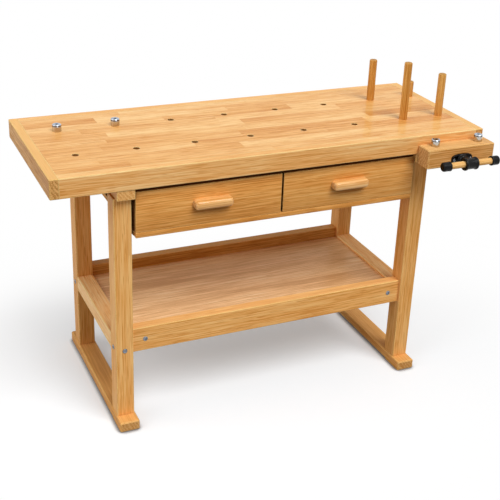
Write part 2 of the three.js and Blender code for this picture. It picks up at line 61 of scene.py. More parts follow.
# %% Finish helper
class Finish:
    """One material, written node by node."""

    def __init__(self, name):
        self.material = bpy.data.materials.new(name)
        self.material.use_nodes = True
        self.tree = self.material.node_tree
        self.shader = self.tree.nodes["Principled BSDF"]

    def give(self, socket, value):
        """Links a node's output to a socket, or sets a plain value. A colour comes without its alpha."""
        if isinstance(value, bpy.types.NodeSocket):
            self.tree.links.new(value, socket)
        elif socket.type == "RGBA":
            socket.default_value = (*value, 1.0)
        else:
            socket.default_value = value

    def node(self, kind, sockets=None, **settings):
        made = self.tree.nodes.new("ShaderNode" + kind)
        for key, value in settings.items():
            setattr(made, key, value)
        for key, value in (sockets or {}).items():
            self.give(made.inputs[key], value)
        return made

    def maths(self, operation, *values):
        return self.node("Math", dict(enumerate(values)), operation=operation).outputs["Value"]

    def noise(self, place, stretch, detail=2.0, roughness=0.5):
        """Cloudy noise from 0 to 1, with stretch cycles to the metre along each axis."""
        scaled = self.node("VectorMath", {0: place, 1: stretch}, operation="MULTIPLY")
        sockets = {"Vector": scaled.outputs["Vector"], "Scale": 1.0}
        sockets.update({"Detail": detail, "Roughness": roughness})
        return self.node("TexNoise", sockets).outputs["Fac"]

    def fade(self, value, low, high, start=0.0, end=1.0):
        """A smooth step from start to end while value goes from low to high."""
        sockets = {"Value": value, "From Min": low, "From Max": high, "To Min": start, "To Max": end}
        return self.node("MapRange", sockets, interpolation_type="SMOOTHSTEP").outputs["Result"]

    def total(self, *parts):
        """A middle value of one half, moved up and down by weighted patterns."""
        result = 0.5
        for pattern, weight in parts:
            swing = self.maths("SUBTRACT", pattern, 0.5)
            result = self.maths("MULTIPLY_ADD", swing, weight, result)
        return result

    def ramp(self, value, *stops):
        made = self.node("ValToRGB", {"Fac": value})
        elements = made.color_ramp.elements
        elements.remove(elements[1])
        for number, (position, colour) in enumerate(stops):
            spot = elements[0] if number == 0 else elements.new(position)
            spot.position = position
            spot.color = (*colour, 1.0)
        return made.outputs["Color"]

    def mix(self, share, first, second):
        made = self.node("Mix", data_type="RGBA")
        for number, value in ((0, share), (6, first), (7, second)):
            self.give(made.inputs[number], value)
        return made.outputs[2]

    def edges(self, radius):
        """The normal rounded over near edges, and how much it turns away there."""
        soft = self.node("Bevel", {"Radius": radius}, samples=4).outputs["Normal"]
        flat = self.node("NewGeometry").outputs["Normal"]
        match = self.node("VectorMath", {0: soft, 1: flat}, operation="DOT_PRODUCT").outputs["Value"]
        barely_turned, well_turned = 0.995, 0.93
        return soft, self.fade(match, barely_turned, well_turned)

    def surface(self, **sockets):
        for key, value in sockets.items():
            self.give(self.shader.inputs[key.replace("_", " ")], value)
        return self.material


def shade(red, green, blue):
    """A colour as it looks on a screen, 0 to 255, turned into the light that a shader works with."""
    return tuple((part / 255) ** 2.2 for part in (red, green, blue))


print("Finish helper ready")

# %% [markdown]
# ## Glued staves
# The top is glued up from short staves, side by side and end to end, and each one was cut from another
# place in the tree. Every stave could be its own box, but the CAD top is one board. So the material works
# out which stave a point lies in, gives each a random number, and draws the thin line of glue where two
# staves meet.

# %% Stave pattern
STAVE_SLIP = 7.0
GLUE_SIDE = (0.35 * MM, 0.1 * MM)
GLUE_END = (0.5 * MM, 0.15 * MM)


def staves(finish, run, across, width, length):
    """A random number for each stave of a glued panel, and the thin line of glue between staves."""
    strip = finish.maths("DIVIDE", across, width)
    row = finish.maths("FLOOR", strip)
    chance = finish.node("TexWhiteNoise", {"W": row}, noise_dimensions="1D").outputs["Value"]
    slip = finish.maths("MULTIPLY", chance, STAVE_SLIP)
    along = finish.maths("ADD", finish.maths("DIVIDE", run, length), slip)
    column = finish.maths("FLOOR", along)
    lot = finish.node("CombineXYZ", {"X": row, "Y": column}).outputs["Vector"]
    plank = finish.node("TexWhiteNoise", {"Vector": lot}, noise_dimensions="2D").outputs["Value"]
    side = finish.maths("PINGPONG", strip, 0.5)
    end = finish.maths("PINGPONG", along, 0.5)
    glue = finish.maths(
        "MAXIMUM",
        finish.fade(side, *(gap / width for gap in GLUE_SIDE)),
        finish.fade(end, *(gap / length for gap in GLUE_END)),
    )
    return plank, glue


print("Glue lines are", round(2 * GLUE_SIDE[0] / MM, 1), "mm wide at most")

# %% [markdown]
# ## Lacquered hardwood
# The bench is pale, honey-coloured hardwood. Up close such wood shows soft bands of figure, streaks, fine
# fibre and short pores, all drawn out along the grain, and growth rings where a board is cut across. One
# picture per face would slide apart at the corners. A solid pattern, worked out from the place inside the
# board, runs through the corners and gives true end grain by itself. Each board takes its own stretch of
# the log from a random number.

# %% Grain patterns
GRAIN_ORDER = {"X": "XYZ", "Y": "YXZ", "Z": "ZXY"}
LOG_STEP_ALONG, LOG_STEP_ACROSS = 7.3, 3.1
# Cycles to the metre, along the grain and twice across it.
FIGURE = (2.0, 16.0, 16.0)
STREAKS = (2.5, 290.0, 290.0)
FLECKS = (8.0, 430.0, 430.0)
FIBRE = (14.0, 1100.0, 1100.0)
PORES = (15.0, 440.0, 440.0)
RINGS_THROUGH, RINGS_ACROSS = 55.0, 80.0
RING_WANDER = 4.0


def grain_patterns(finish, run, across, through, plank):
    """Solid patterns from 0 to 1 for one board. plank, a random number, picks its place in the log."""
    log = {
        "X": finish.maths("MULTIPLY_ADD", plank, LOG_STEP_ALONG, run),
        "Y": finish.maths("MULTIPLY_ADD", plank, LOG_STEP_ACROSS, across),
        "Z": through,
    }
    grain = finish.node("CombineXYZ", log).outputs["Vector"]
    figure = finish.noise(grain, FIGURE, detail=3.0)
    sideways = finish.maths("MULTIPLY", across, RINGS_ACROSS)
    slope = finish.maths("MULTIPLY_ADD", through, RINGS_THROUGH, sideways)
    turns = finish.maths("MULTIPLY_ADD", figure, RING_WANDER, slope)
    wave = finish.maths("SINE", finish.maths("MULTIPLY", turns, math.tau))
    return {
        "figure": figure,
        "streaks": finish.noise(grain, STREAKS, detail=4.0, roughness=0.62),
        "flecks": finish.fade(finish.noise(grain, FLECKS), 0.32, 0.66),
        "fibre": finish.noise(grain, FIBRE),
        "pores": finish.fade(finish.noise(grain, PORES, detail=1.0), 0.58, 0.68),
        "rings": finish.maths("MULTIPLY_ADD", wave, 0.5, 0.5),
    }


print("Growth rings", round(1000 / RINGS_ACROSS, 1), "mm apart across a board")

# %% [markdown]
# ## Use, wear and painted light
# A bench isn't one even colour. Upper faces are painted paler, partly as lacquer rubbed pale and partly
# as painted light; edges are painted lighter, partly as worn lacquer and partly as a painted highlight;
# the upright walls of holes are darker; and a front gets painted shade under an overhang. Such marks
# could be painted on by hand. Here the surface itself tells where they belong: the way a face looks, how
# fast it turns at an edge, and how much open air an Ambient Occlusion node finds near it.

# %% Wear and painted light
HOLE_WALL_TONE = shade(150, 94, 46)
PAINTED_SHADE = shade(62, 35, 15)
SHADE_REACH = 45 * MM
SHADE_LEAN = (0.0, 0.0, 0.9)
OPEN, CLOSE = 0.82, 0.34
EDGE_REACH = 2.6 * MM
HIGHLIGHT_GAIN = 1.3
HIGHLIGHT_SHARE = 0.85


def wear_and_painted_light(finish, colour, normal, light, drilled, overhang_shade, rubbed_and_lit):
    """Paints darker hole walls, shade, rubbed and lit tops and edge highlights; rounds the normal at edges.
    """
    upward = finish.node("SeparateXYZ", {"Vector": normal}).outputs["Z"]
    # The upright walls of holes in a drilled board are painted darker.
    if drilled:
        upright = finish.maths("ABSOLUTE", upward)
        colour = finish.mix(finish.fade(upright, 0.5, 0.2), colour, HOLE_WALL_TONE)
    # Painted shade: a front darkens where an upward-leaning Ambient Occlusion finds a board close above it,
    # as the shadow under an overhang.
    if overhang_shade:
        leaning = finish.node("VectorMath", {0: normal, 1: SHADE_LEAN}, operation="ADD").outputs["Vector"]
        seen_from = finish.node("VectorMath", {0: leaning}, operation="NORMALIZE").outputs["Vector"]
        sockets = {"Distance": SHADE_REACH, "Normal": seen_from}
        open_air = finish.node("AmbientOcclusion", sockets, samples=12).outputs["AO"]
        colour = finish.mix(finish.fade(open_air, OPEN, CLOSE, 0.0, overhang_shade), colour, PAINTED_SHADE)
    # Upper faces painted paler: partly lacquer rubbed pale by use, partly painted light on faces that look
    # up.
    if rubbed_and_lit:
        level = finish.fade(upward, 0.5, 0.9)
        colour = finish.mix(finish.maths("MULTIPLY", level, rubbed_and_lit), colour, light)
    # Edges painted lighter: partly worn lacquer, partly a painted highlight for light caught on rounded
    # edges.
    rounded, near_edge = finish.edges(EDGE_REACH)
    painted_highlight = tuple(min(1.0, HIGHLIGHT_GAIN * part) for part in light)
    return finish.mix(finish.maths("MULTIPLY", near_edge, HIGHLIGHT_SHARE), colour, painted_highlight), rounded


# The width over which the normal is rounded and the edges are painted lighter.
print("Edges wear over", round(EDGE_REACH / MM, 1), "mm")

# %% [markdown]
# ## The timber recipe
# One recipe makes every wood of the bench. The patterns move a tone up and down, a colour ramp turns the
# tone into a shade between deep and light, pores and glue lines darken it, and faces that look along the
# grain get the rings of a sawn end. Separate materials could be drawn for each board, but then a change
# to the grain would have to be made many times.

# %% Timber recipe
PORE_SHARE = 0.7
GLUE_SHARE = 0.45
FIBRE_WEIGHT = 0.5
END_WEIGHTS = {"rings": 0.3, "flecks": 0.5, "figure": 0.6}
LACQUER_ROUGHNESS = 0.14


def timber(
    name,
    along,
    shades,
    stave=None,
    drilled=False,
    overhang_shade=0.0,
    rubbed_and_lit=0.0,
    band=0.6,
    streak=1.3,
    ring=0.05,
    fleck=0.4,
    spread=0.3,
    sawn_tone=0.8,
    gloss=0.42,
    coat=0.0,
    shine=0.07,
):
    """Lacquered wood with its grain along one axis. shades run from deep to light."""
    finish = Finish(name)
    deep, middle, light = shades
    place = finish.node("TexCoord").outputs
    parts = finish.node("SeparateXYZ", {"Vector": place["Object"]}).outputs
    run, across, through = (parts[axis] for axis in GRAIN_ORDER[along])
    plank, glue = finish.node("ObjectInfo").outputs["Random"], 0.0
    if stave:
        plank, glue = staves(finish, run, across, *stave)
    marks = grain_patterns(finish, run, across, through, plank)
    pores = marks["pores"]

    weights = {"figure": band, "streaks": streak, "flecks": fleck, "rings": ring, "fibre": FIBRE_WEIGHT}
    swings = [(marks[mark], weight) for mark, weight in weights.items()]
    tone = finish.total(*swings, (plank, spread))
    colour = finish.ramp(tone, (0.1, deep), (0.5, middle), (0.9, light))
    colour = finish.mix(finish.maths("MULTIPLY", pores, PORE_SHARE), colour, deep)
    colour = finish.mix(finish.maths("MULTIPLY", glue, GLUE_SHARE), colour, deep)

    facing = finish.node("SeparateXYZ", {"Vector": place["Normal"]}).outputs
    end_on = finish.maths("ABSOLUTE", facing[GRAIN_ORDER[along][0]])
    ends = finish.total(*((marks[mark], weight) for mark, weight in END_WEIGHTS.items()))
    dark, pale = (tuple(sawn_tone * part for part in tint) for tint in (deep, light))
    end_colour = finish.ramp(ends, (0.1, dark), (0.9, pale))
    colour = finish.mix(finish.fade(end_on, 0.6, 0.9), colour, end_colour)
    colour, rounded = wear_and_painted_light(finish, colour, place["Normal"], light, drilled, overhang_shade, rubbed_and_lit)

    height = finish.maths("SUBTRACT", finish.maths("MULTIPLY", marks["fibre"], 0.5), pores)
    sockets = {"Strength": 0.25, "Distance": 0.3 * MM, "Height": height, "Normal": rounded}
    satin = finish.fade(marks["streaks"], 0.2, 0.8, gloss - 0.05, gloss + 0.07)
    return finish.surface(
        Base_Color=colour,
        Roughness=finish.maths("MULTIPLY_ADD", pores, 0.16, satin),
        Normal=finish.node("Bump", sockets).outputs["Normal"],
        Specular_IOR_Level=shine,
        Coat_Weight=coat,
        Coat_Roughness=LACQUER_ROUGHNESS,
    )


print("Timber recipe ready")

# %% [markdown]
# ## The woods of the bench
# Boards from different trees differ a little in colour: the top is honey, the drawer fronts are redder,
# the shelf is paler and the pegs are darker. Each wood is three shades, from deep to light. Some copies
# of a wood are painted lighter as light, others darker as shade: the aprons and the shelf's end rails are
# lighter, the shaded legs, the back rail and the right front darker. Only the dark gap beside the drawers
# shows the case's sides, so they are painted dark brown as the shade in that gap.

# %% Shades and woods
# A lighter copy of the top's wood for the aprons and the shelf's end rails: painted light for faces that
# the lamps light less.
HONEY_LIT = (shade(213, 137, 61), shade(247, 184, 112), shade(255, 213, 151))
HONEY = (shade(206, 131, 54), shade(241, 178, 102), shade(254, 208, 142))
AMBER = (shade(208, 132, 56), shade(241, 174, 98), shade(253, 203, 133))
TOFFEE = (shade(200, 126, 52), shade(232, 165, 90), shade(247, 194, 124))
CHESTNUT = (shade(202, 127, 55), shade(238, 166, 88), shade(250, 194, 119))
RUSSET = (shade(192, 118, 49), shade(226, 153, 77), shade(240, 181, 107))
OATMEAL = (shade(208, 156, 102), shade(248, 203, 148), shade(255, 230, 187))
STRAW = (shade(220, 160, 86), shade(248, 194, 122), shade(255, 218, 158))
BISCUIT = (shade(186, 117, 51), shade(223, 160, 91), shade(243, 196, 132))
CARAMEL = (shade(172, 109, 46), shade(206, 148, 80), shade(250, 196, 124))
TAN = (shade(208, 138, 66), shade(240, 176, 103), shade(252, 206, 142))
COPPER = (shade(176, 110, 42), shade(208, 148, 74), shade(228, 178, 104))
RAIL_SHADE_TONE = (shade(170, 105, 40), shade(202, 139, 66), shade(226, 170, 98))
GAP_SHADE_BROWN = (shade(70, 43, 23), shade(98, 63, 36), shade(124, 84, 50))

STAVE = (48 * MM, 430 * MM)
woods = {
    "top panel": timber("top panel", "X", HONEY, STAVE, True, spread=0.4, band=0.9, streak=1.5, coat=0.25),
    "top edge": timber("top edge", "X", HONEY_LIT, spread=0.0, streak=0.9, rubbed_and_lit=0.2),
    "end cap": timber("end cap", "Y", CARAMEL, spread=0.1, streak=1.0, rubbed_and_lit=0.8, sawn_tone=0.98),
    "jaw": timber("jaw", "X", BISCUIT, spread=0.1, sawn_tone=0.85, rubbed_and_lit=0.4),
    "upright": timber("upright", "Z", AMBER, streak=0.95),
    # A darker copy of the leg wood: painted shade for legs that stand in shade.
    "upright in painted shade": timber("upright in painted shade", "Z", TOFFEE, streak=0.95),
    "foot rail": timber("foot rail", "Y", TOFFEE, streak=1.0, rubbed_and_lit=0.3),
    # A darker copy of the rail wood: painted shade, as the back rail lies in the shadow of the top.
    "back rail in painted shade": timber("back rail in painted shade", "X", RAIL_SHADE_TONE, streak=1.0, rubbed_and_lit=0.6),
    "cross rail": timber("cross rail", "Y", AMBER, streak=1.0, sawn_tone=1.0),
    "shelf end": timber("shelf end", "Y", HONEY_LIT, streak=1.0, sawn_tone=1.0),
    "long rail": timber("long rail", "X", AMBER, streak=1.0, rubbed_and_lit=0.3),
    # The drawer fronts get painted shade under the front apron's overhang.
    "left front": timber("left front", "X", CHESTNUT, ring=0.08, overhang_shade=0.78),
    # The right front is a darker copy of the left: painted shade from the vise jaw beside it.
    "right front": timber("right front", "X", RUSSET, ring=0.08, overhang_shade=0.78),
    "lip": timber("lip", "X", RUSSET, ring=0.08),
    # Case sides painted dark brown, standing in for the shade in the gap beside the drawers.
    "case side": timber("case side", "Y", GAP_SHADE_BROWN, gloss=0.7, shine=0.0),
    "shelf": timber("shelf", "X", OATMEAL, band=1.0, fleck=0.3, gloss=0.38, coat=0.08),
    "pull": timber("pull", "X", TAN, gloss=0.3, coat=0.5),
    "drawer side": timber("drawer side", "Y", STRAW, gloss=0.55),
    "drawer back": timber("drawer back", "X", STRAW, gloss=0.55),
    "dowel": timber("dowel", "Z", COPPER),
    "handle dowel": timber("handle dowel", "X", STRAW),
}
print("Woods:", ", ".join(woods))

# %% [markdown]
# ## Metal and moulded plastic
# The vise's castings are black paint over rough iron, the steel dogs are chromed, the rods and the screw
# are plain turned steel, and the handle's caps are moulded plastic. Paint over a casting shows faint
# lumps and thinner paint on its edges. Chrome is nearly a mirror, so a little uneven roughness is enough;
# its steep sides are painted warm, a painted reflection of the wood. Turned steel has fine rings round
# its axis.

# %% Metal and plastic recipes
BLACKS = (shade(5, 5, 6), shade(12, 12, 13))
THIN_PAINT = shade(66, 66, 68)
CAST_EDGE = 1.2 * MM


def evenly(cycles):
    """The same number of cycles to the metre along every axis."""
    return (cycles, cycles, cycles)


def cast_iron(name):
    finish = Finish(name)
    place = finish.node("TexCoord").outputs["Object"]
    lumps = finish.noise(place, evenly(420.0), detail=4.0, roughness=0.65)
    cloud = finish.noise(place, evenly(60.0))
    rounded, near_edge = finish.edges(CAST_EDGE)
    colour = finish.ramp(cloud, (0.3, BLACKS[0]), (0.7, BLACKS[1]))
    colour = finish.mix(finish.maths("MULTIPLY", near_edge, 0.3), colour, THIN_PAINT)
    sockets = {"Strength": 0.3, "Distance": 0.4 * MM, "Height": lumps, "Normal": rounded}
    return finish.surface(
        Base_Color=colour,
        Roughness=finish.fade(lumps, 0.2, 0.8, 0.2, 0.32),
        Normal=finish.node("Bump", sockets).outputs["Normal"],
        Specular_IOR_Level=0.2,
    )


def moulded(name):
    finish = Finish(name)
    place = finish.node("TexCoord").outputs["Object"]
    speckle = finish.noise(place, evenly(1500.0))
    cloud = finish.noise(place, evenly(45.0))
    sockets = {"Strength": 0.2, "Distance": 0.2 * MM, "Height": speckle}
    return finish.surface(
        Base_Color=finish.ramp(cloud, (0.3, BLACKS[0]), (0.7, BLACKS[1])),
        Roughness=finish.fade(speckle, 0.2, 0.8, 0.3, 0.42),
        Normal=finish.node("Bump", sockets).outputs["Normal"],
        Specular_IOR_Level=0.16,
    )


def bright_metal(name, shades, roughness, scratch, flank=None):
    """Bare metal between two shades and two roughnesses. flank is a colour painted on steep faces as a
    reflection.
    """
    finish = Finish(name)
    place = finish.node("TexCoord").outputs
    cloud = finish.noise(place["Object"], evenly(90.0), detail=3.0)
    lines = finish.noise(place["Object"], scratch)
    colour = finish.ramp(cloud, (0.25, shades[0]), (0.75, shades[1]))
    if flank:
        upward = finish.node("SeparateXYZ", {"Vector": place["Normal"]}).outputs["Z"]
        colour = finish.mix(finish.fade(upward, 0.75, 0.2), colour, flank)
    sockets = {"Strength": 0.08, "Distance": 0.1 * MM, "Height": lines}
    return finish.surface(
        Base_Color=colour,
        Metallic=1.0,
        Roughness=finish.fade(lines, 0.25, 0.75, *roughness),
        Normal=finish.node("Bump", sockets).outputs["Normal"],
    )


ROUND_Z, ROUND_Y, ALL_OVER = (300.0, 300.0, 2600.0), (700.0, 3000.0, 700.0), evenly(900.0)
CHROME = (shade(142, 154, 170), shade(192, 204, 218))
# Painted reflection: the warm wood seen in the chrome's steep sides.
CHROME_PAINTED_REFLECTION = shade(196, 186, 172)
# A dark steel painted into the dogs' groove and dimple as shade.
RECESS_SHADE_STEEL = (shade(40, 42, 46), shade(64, 67, 73))
TURNED = (shade(150, 152, 155), shade(190, 192, 195))
BOLT = (shade(108, 112, 118), shade(150, 154, 160))
metals = {
    "black casting": cast_iron("black casting"),
    "black cap": moulded("black cap"),
    "chrome": bright_metal("chrome", CHROME, (0.05, 0.12), ROUND_Z, CHROME_PAINTED_REFLECTION),
    "shade-dark steel": bright_metal("shade-dark steel", RECESS_SHADE_STEEL, (0.15, 0.3), ROUND_Z),
    "turned steel": bright_metal("turned steel", TURNED, (0.2, 0.38), ROUND_Y),
    "bolt steel": bright_metal("bolt steel", BOLT, (0.18, 0.32), ALL_OVER),
}
print("Metals and plastic:", ", ".join(metals))

# %% [markdown]
# ## Which board is cut which way
# A joiner runs the grain along each board's length: up the legs, along the rails, across the end caps.
# The CAD boards have the right shape already, with eased edges, so they only change their material. The
# list below says which way each one was cut.

# %% Give the boards their wood
grain_plan = {
    "top panel": ["top_board"],
    "top edge": ["front_apron", "back_apron"],
    "end cap": ["left_end_cap", "right_end_cap"],
    "jaw": ["vise_jaw"],
    "upright": ["front_left_leg"],
    "upright in painted shade": ["back_left_leg", "front_right_leg", "back_right_leg"],
    "foot rail": ["left_foot_rail", "right_foot_rail"],
    "cross rail": ["left_top_bearer", "right_top_bearer"],
    "shelf end": ["left_shelf_rail", "right_shelf_rail"],
    "long rail": ["front_shelf_rail", "front_shelf_cleat"],
    "back rail in painted shade": ["back_shelf_rail", "back_shelf_cleat"],
    "left front": ["case_bottom", "case_back"],
    "case side": ["case_left_side", "case_right_side", "case_divider"],
    "shelf": ["shelf_panel"],
}
drawers = ("left_drawer", "right_drawer")
grain_plan["drawer side"] = [f"{drawer}_{side}_side" for drawer in drawers for side in ("left", "right")]
grain_plan["drawer back"] = [f"{drawer}_{panel}" for drawer in drawers for panel in ("back", "bottom")]


def clothe(obj, material):
    obj.data.materials.clear()
    obj.data.materials.append(material)


for wood, boards in grain_plan.items():
    for board_name in boards:
        clothe(nodes[board_name], woods[wood])
for casting in ("vise_back_plate", "guide_rod_tie"):
    clothe(nodes[casting], metals["black casting"])
print(sum(len(boards) for boards in grain_plan.values()), "boards clothed")

# %% [markdown]
# ## Skins over loops
# The round pieces in the CAD model have flat sides. A lathe in Blender could be a Screw modifier, but
# bolts with six-sided wells and a threaded screw need more. So every round piece here is a skin stretched
# over loops of points, one loop after another, closed at both ends. Corners of a profile are turned into
# small arcs, as a real edge is never sharp.

# %% Loop and skin helpers
SIDES = 48


def eased(profile, radius, steps=3):
    """A profile of (radius, height) pairs with its corners turned into small arcs."""
    points = [Vector(point) for point in profile]
    result = [points[0]]
    for before, corner, after in zip(points, points[1:], points[2:]):
        arms = [before - corner, after - corner]
        start, end = (corner + arm.normalized() * min(radius, arm.length / 2.2) for arm in arms)
        for step in range(steps + 1):
            share = step / steps
            result.append(start.lerp(corner, share).lerp(corner.lerp(end, share), share))
    return result + [points[-1]]


def round_loop(radius, height, sides=SIDES):
    turns = [math.tau * number / sides for number in range(sides)]
    return [Vector((radius * math.cos(turn), radius * math.sin(turn), height)) for turn in turns]


def standing(centre, direction=(0, 0, 1)):
    """A placement that puts a loop's height along a direction from a centre."""
    turn = Vector((0, 0, 1)).rotation_difference(Vector(direction))
    return Matrix.Translation(centre) @ turn.to_matrix().to_4x4()


def skin(shape, loops, placement=Matrix(), closed=False):
    """Stretches faces over loops in a bmesh, capped at both ends unless the last loop meets the first."""
    rings = [[shape.verts.new(placement @ point) for point in loop] for loop in loops]
    pairs = list(zip(rings, rings[1:]))
    if closed:
        pairs.append((rings[-1], rings[0]))
    for lower, upper in pairs:
        for number, corner in enumerate(lower):
            after = (number + 1) % len(lower)
            shape.faces.new((corner, lower[after], upper[after], upper[number]))
    if not closed:
        shape.faces.new(reversed(rings[0]))
        shape.faces.new(rings[-1])


def finish_piece(name, shape, material, body, stands_for=(), crease=32):
    """Turns a bmesh into a piece that rides on a body, and stands for CAD nodes where it replaces them."""
    bmesh.ops.recalc_face_normals(shape, faces=shape.faces)
    for face in shape.faces:
        face.smooth = True
    mesh = bpy.data.meshes.new(name)
    shape.to_mesh(mesh)
    shape.free()
    mesh.set_sharp_from_angle(angle=math.radians(crease))
    piece = bpy.data.objects.new(name, mesh)
    bpy.context.scene.collection.objects.link(piece)
    clothe(piece, material)
    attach(piece, body)
    if stands_for:
        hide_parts(*stands_for)
    return piece


def middle_of(node):
    low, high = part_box(node)
    return (low + high) / 2


def turned(name, profile, placement, material, body, stands_for=(), ease=0.8 * MM):
    shape = bmesh.new()
    skin(shape, [round_loop(*point) for point in eased(profile, ease)], placement)
    return finish_piece(name, shape, material, body, stands_for)


print("Skin helpers ready")

# %% [markdown]
# ## Pegs and steel dogs
# Wooden pegs and chromed steel dogs stand in round holes, so that work can be clamped against them. A peg
# is a dowel with a thinner shank and a chamfered top. A dog is a short turned head, with a groove round
# it and a dimple in its top, which are painted dark as shade. Each one is turned from its profile, with
# sizes read from the CAD node that it replaces.

# %% Turn the pegs
SHANK_RADIUS = 9.6 * MM
SHANK_CHAMFER = 1.2 * MM
SEAT_GAP = 0.2 * MM
PEG_CHAMFER = 2 * MM
work_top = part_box("top_board")[1].z


def shank(low, seat):
    """The thin part of a peg or dog that stands in its hole."""
    return [
        (SHANK_RADIUS - SHANK_CHAMFER, low),
        (SHANK_RADIUS, low + SHANK_CHAMFER),
        (SHANK_RADIUS, seat + SEAT_GAP),
    ]


def peg(name):
    low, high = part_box(name)
    radius = (high.x - low.x) / 2
    profile = shank(low.z, work_top) + [
        (radius, work_top + SEAT_GAP),
        (radius, high.z - PEG_CHAMFER),
        (radius - PEG_CHAMFER, high.z),
        (2 * MM, high.z),
    ]
    centre = middle_of(name)
    place = standing((centre.x, centre.y, 0))
    turned(f"turned_{name}", profile, place, woods["dowel"], name, (name,))


for peg_name in ("back_peg", "front_peg", "end_front_peg", "end_back_peg"):
    peg(peg_name)
print("Pegs stand on", round(work_top / MM), "mm")

# %% Turn the dogs
GROOVE_TOP, GROOVE_FOOT = 3 * MM, 5.8 * MM
GROOVE_DEPTH = 0.8 * MM
GROOVE_FLANK = 0.4 * MM
DOG_CHAMFER = 1.8 * MM
DIMPLE_REACH = 5 * MM
NEARLY = 0.1 * MM
jaw_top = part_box("vise_jaw")[1].z


def dog(name, seat):
    low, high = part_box(name)
    radius = (high.x - low.x) / 2
    groove_low, groove_high = high.z - GROOVE_FOOT, high.z - GROOVE_TOP
    profile = shank(low.z, seat) + [
        (radius - 0.8 * MM, seat + SEAT_GAP),
        (radius, seat + 1 * MM),
        (radius, groove_low),
        (radius - GROOVE_DEPTH, groove_low + GROOVE_FLANK),
        (radius - GROOVE_DEPTH, groove_high - GROOVE_FLANK),
        (radius, groove_high),
        (radius, high.z - DOG_CHAMFER),
        (radius - DOG_CHAMFER, high.z),
        (4.6 * MM, high.z),
        (3.6 * MM, high.z - 1.2 * MM),
        (3.2 * MM, high.z - 3 * MM),
        (0.6 * MM, high.z - 3.4 * MM),
    ]
    centre = middle_of(name)
    place = standing((centre.x, centre.y, 0))
    piece = turned(f"turned_{name}", profile, place, metals["chrome"], name, (name,), 0.4 * MM)
    # The groove and the dimple get the dark steel: painted shade in the dog's hollows.
    piece.data.materials.append(metals["shade-dark steel"])
    for face in piece.data.polygons:
        below_top = high.z - face.center.z
        from_axis = (face.center - centre).xy.length
        in_groove = groove_low < face.center.z < groove_high and from_axis < radius - NEARLY
        in_dimple = from_axis < DIMPLE_REACH and NEARLY < below_top < DIMPLE_REACH
        face.material_index = int(in_groove or in_dimple)


for dog_name in ("left_bench_dog", "second_bench_dog"):
    dog(dog_name, work_top)
for dog_name in ("jaw_left_dog", "jaw_right_dog"):
    dog(dog_name, jaw_top)
print("Jaw dogs stand on", round(jaw_top / MM), "mm")

# %% [markdown]
# ## Drawer fronts and the lip below them
# On the real bench the drawer fronts stand on a lip, the front edge of the case's floor, which stays
# behind when a drawer is pulled out. The CAD fronts cover that edge. So each front is made again as a
# plain board that ends just above the floor, and the lip fills the strip below both. A box with bevelled
# edges is enough.

# %% Fit the fronts and the lip
BOARD_EASE = 1 * MM
LIP_CLEARANCE = 0.5 * MM
floor_low, floor_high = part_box("case_bottom")


def board(name, low, high, material, body, stands_for=()):
    """A plain board with eased edges between two corners."""
    sides = Matrix.Diagonal((*(high - low), 1.0))
    shape = bmesh.new()
    bmesh.ops.create_cube(shape, size=1.0, matrix=Matrix.Translation((low + high) / 2) @ sides)
    edges = list(shape.edges)
    bmesh.ops.bevel(shape, geom=edges, offset=BOARD_EASE, segments=2, profile=0.5, affect="EDGES")
    return finish_piece(name, shape, material, body, stands_for, crease=60)


for side in ("left", "right"):
    node = f"{side}_drawer_front"
    low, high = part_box(node)
    low.z = floor_high.z + LIP_CLEARANCE
    board(f"shortened_{node}", low, high, woods[f"{side} front"], f"{side}_drawer", (node,))
lip_low = Vector((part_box("left_drawer_front")[0].x, low.y, floor_low.z))
lip_high = Vector((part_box("right_drawer_front")[1].x, floor_low.y, floor_high.z))
board("case_lip", lip_low, lip_high, woods["lip"], "bench")
lip_height = round((lip_high.z - lip_low.z) / MM)
print("Fronts are", round((high.z - low.z) / MM), "mm high over a lip of", lip_height, "mm")

# %% [markdown]
# ## Drawer pulls
# Each pull is a length of bar, flat where it meets the drawer, round in front and rounded over at its
# ends. It could be a bevelled curve, but the section has to shrink towards the ends. A skin over sections
# does both: the same section repeats along the bar and closes in over the last few millimetres.

# %% Shape the pulls
PULL_END = 11 * MM
PULL_STEPS = 12
PULL_FLAT = 0.35
FULLNESS = 0.7
ROUND_STEPS = 24


def pull_section(depth, half_height):
    """A bar with a full round front, as (stand-off, height) pairs round its outline."""
    crown = PULL_FLAT * depth
    outline = [(0.0, -half_height)]
    for number in range(ROUND_STEPS + 1):
        turn = math.pi * (number / ROUND_STEPS - 0.5)
        out = math.cos(turn) ** FULLNESS
        rise = math.copysign(abs(math.sin(turn)) ** FULLNESS, turn)
        outline.append((crown + (depth - crown) * out, half_height * rise))
    return outline + [(0.0, half_height)]


def pull(side):
    node = f"{side}_drawer_pull"
    low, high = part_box(node)
    centre = (low + high) / 2
    depth, half_height, half_length = high.y - low.y, (high.z - low.z) / 2, (high.x - low.x) / 2
    loops = []
    for number in range(2 * PULL_STEPS + 2):
        left = number <= PULL_STEPS
        step = number if left else 2 * PULL_STEPS + 1 - number
        turn = math.pi / 2 * step / PULL_STEPS
        drawn_in = PULL_END * (1 - math.sin(turn))
        offset = half_length - PULL_END + PULL_END * math.cos(turn)
        x = centre.x + (-offset if left else offset)
        section = pull_section(depth - drawn_in, half_height - drawn_in)
        loops.append([Vector((x, high.y - out, centre.z + rise)) for out, rise in section])
    shape = bmesh.new()
    skin(shape, loops)
    rider = f"{side}_drawer"
    return finish_piece(f"rounded_{node}", shape, woods["pull"], rider, (node,), crease=50)


for pull_side in ("left", "right"):
    pull(pull_side)
pull_low, pull_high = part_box("left_drawer_pull")
print("Pulls are", [round(side / MM) for side in pull_high - pull_low], "mm")

